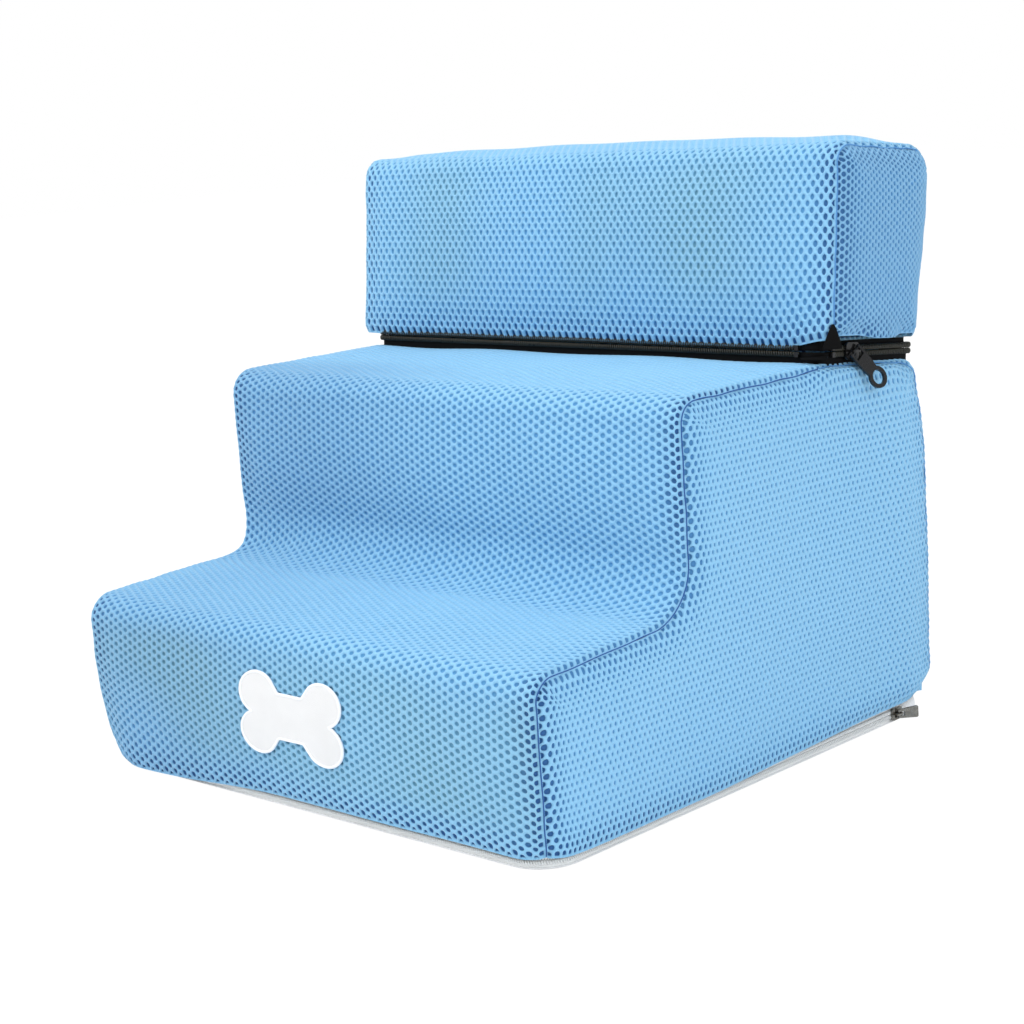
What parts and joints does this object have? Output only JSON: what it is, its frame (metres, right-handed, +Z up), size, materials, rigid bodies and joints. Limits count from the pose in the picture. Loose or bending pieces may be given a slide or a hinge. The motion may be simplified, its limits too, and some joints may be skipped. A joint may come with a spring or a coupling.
{
  "type": "pet stairs",
  "caption": "Soft foam stairs for a small pet, in a blue air-mesh cover, with a top step that zips off and a zipped base.",
  "frame": {"origin": "on the floor, at the middle of the base panel", "axes": "+X across the steps towards the side with both sliders, +Y from the front of the lowest step to the back, +Z up"},
  "size_m": [0.3482, 0.314, 0.307],
  "materials": {
    "foam": "pale open-cell sponge",
    "air_mesh": "light blue 3-D air mesh with staggered holes",
    "base_cloth": "plain white woven cloth",
    "white_tape": "off-white zipper tape",
    "white_coil": "off-white nylon coil",
    "nickel": "nickel-plated zinc",
    "white_patch": "white woven patch with a stitched edge",
    "black_tape": "black zipper tape",
    "black_coil": "black nylon coil",
    "black_metal": "black enamelled zinc"
  },
  "bodies": {
    "stair_body": {"lower_foam_slab": "foam", "middle_foam_slab": "foam", "stair_cover_wrap": "air_mesh", "stair_cover_left_side": "air_mesh", "stair_cover_right_side": "air_mesh", "stair_cover_back": "air_mesh", "base_panel": "base_cloth", "base_zip_upper_tape": "white_tape", "base_zip_lower_tape": "white_tape", "base_zip_upper_coil": "white_coil", "base_zip_lower_coil": "white_coil", "base_zip_stops": "white_coil", "bone_patch": "white_patch", "bone_patch_edging": "white_patch", "join_zip_lower_tape": "black_tape", "join_zip_lower_coil": "black_coil", "join_zip_lower_stops": "black_metal"},
    "top_step": {"top_foam_block": "foam", "top_cover_wrap": "air_mesh", "top_cover_left_side": "air_mesh", "top_cover_right_side": "air_mesh", "top_cover_bottom": "air_mesh", "join_zip_upper_tape": "black_tape", "join_zip_upper_coil": "black_coil", "join_zip_upper_stops": "black_metal"},
    "join_slider": {"join_zip_slider": "black_metal"},
    "join_pull": {"join_zip_pull": "black_metal"},
    "base_slider": {"base_zip_slider": "nickel"},
    "base_pull": {"base_zip_pull": "nickel"}
  },
  "joints": [
    {"name": "top_step_lift", "type": "slide", "parent": "stair_body", "child": "top_step", "axis": [0, 0.1045, 0.9945], "range_m": [0, 0.12]},
    {"name": "join_slider_travel", "type": "slide", "parent": "stair_body", "child": "join_slider", "axis": [0, 0.9945, -0.1045], "range_m": [0, 0.038]},
    {"name": "join_pull_swing", "type": "hinge", "parent": "join_slider", "child": "join_pull", "pos_m": [0.1658, 0.09621, 0.20135], "axis": [0, -0.829, -0.5592], "range_deg": [-15, 85]},
    {"name": "base_slider_travel", "type": "slide", "parent": "stair_body", "child": "base_slider", "axis": [0, -1, 0], "range_m": [0, 0.23]},
    {"name": "base_pull_swing", "type": "hinge", "parent": "base_slider", "child": "base_pull", "pos_m": [0.1653, 0.12328, 0.00495], "axis": [0, 0, -1], "range_deg": [-25, 115]}
  ]
}
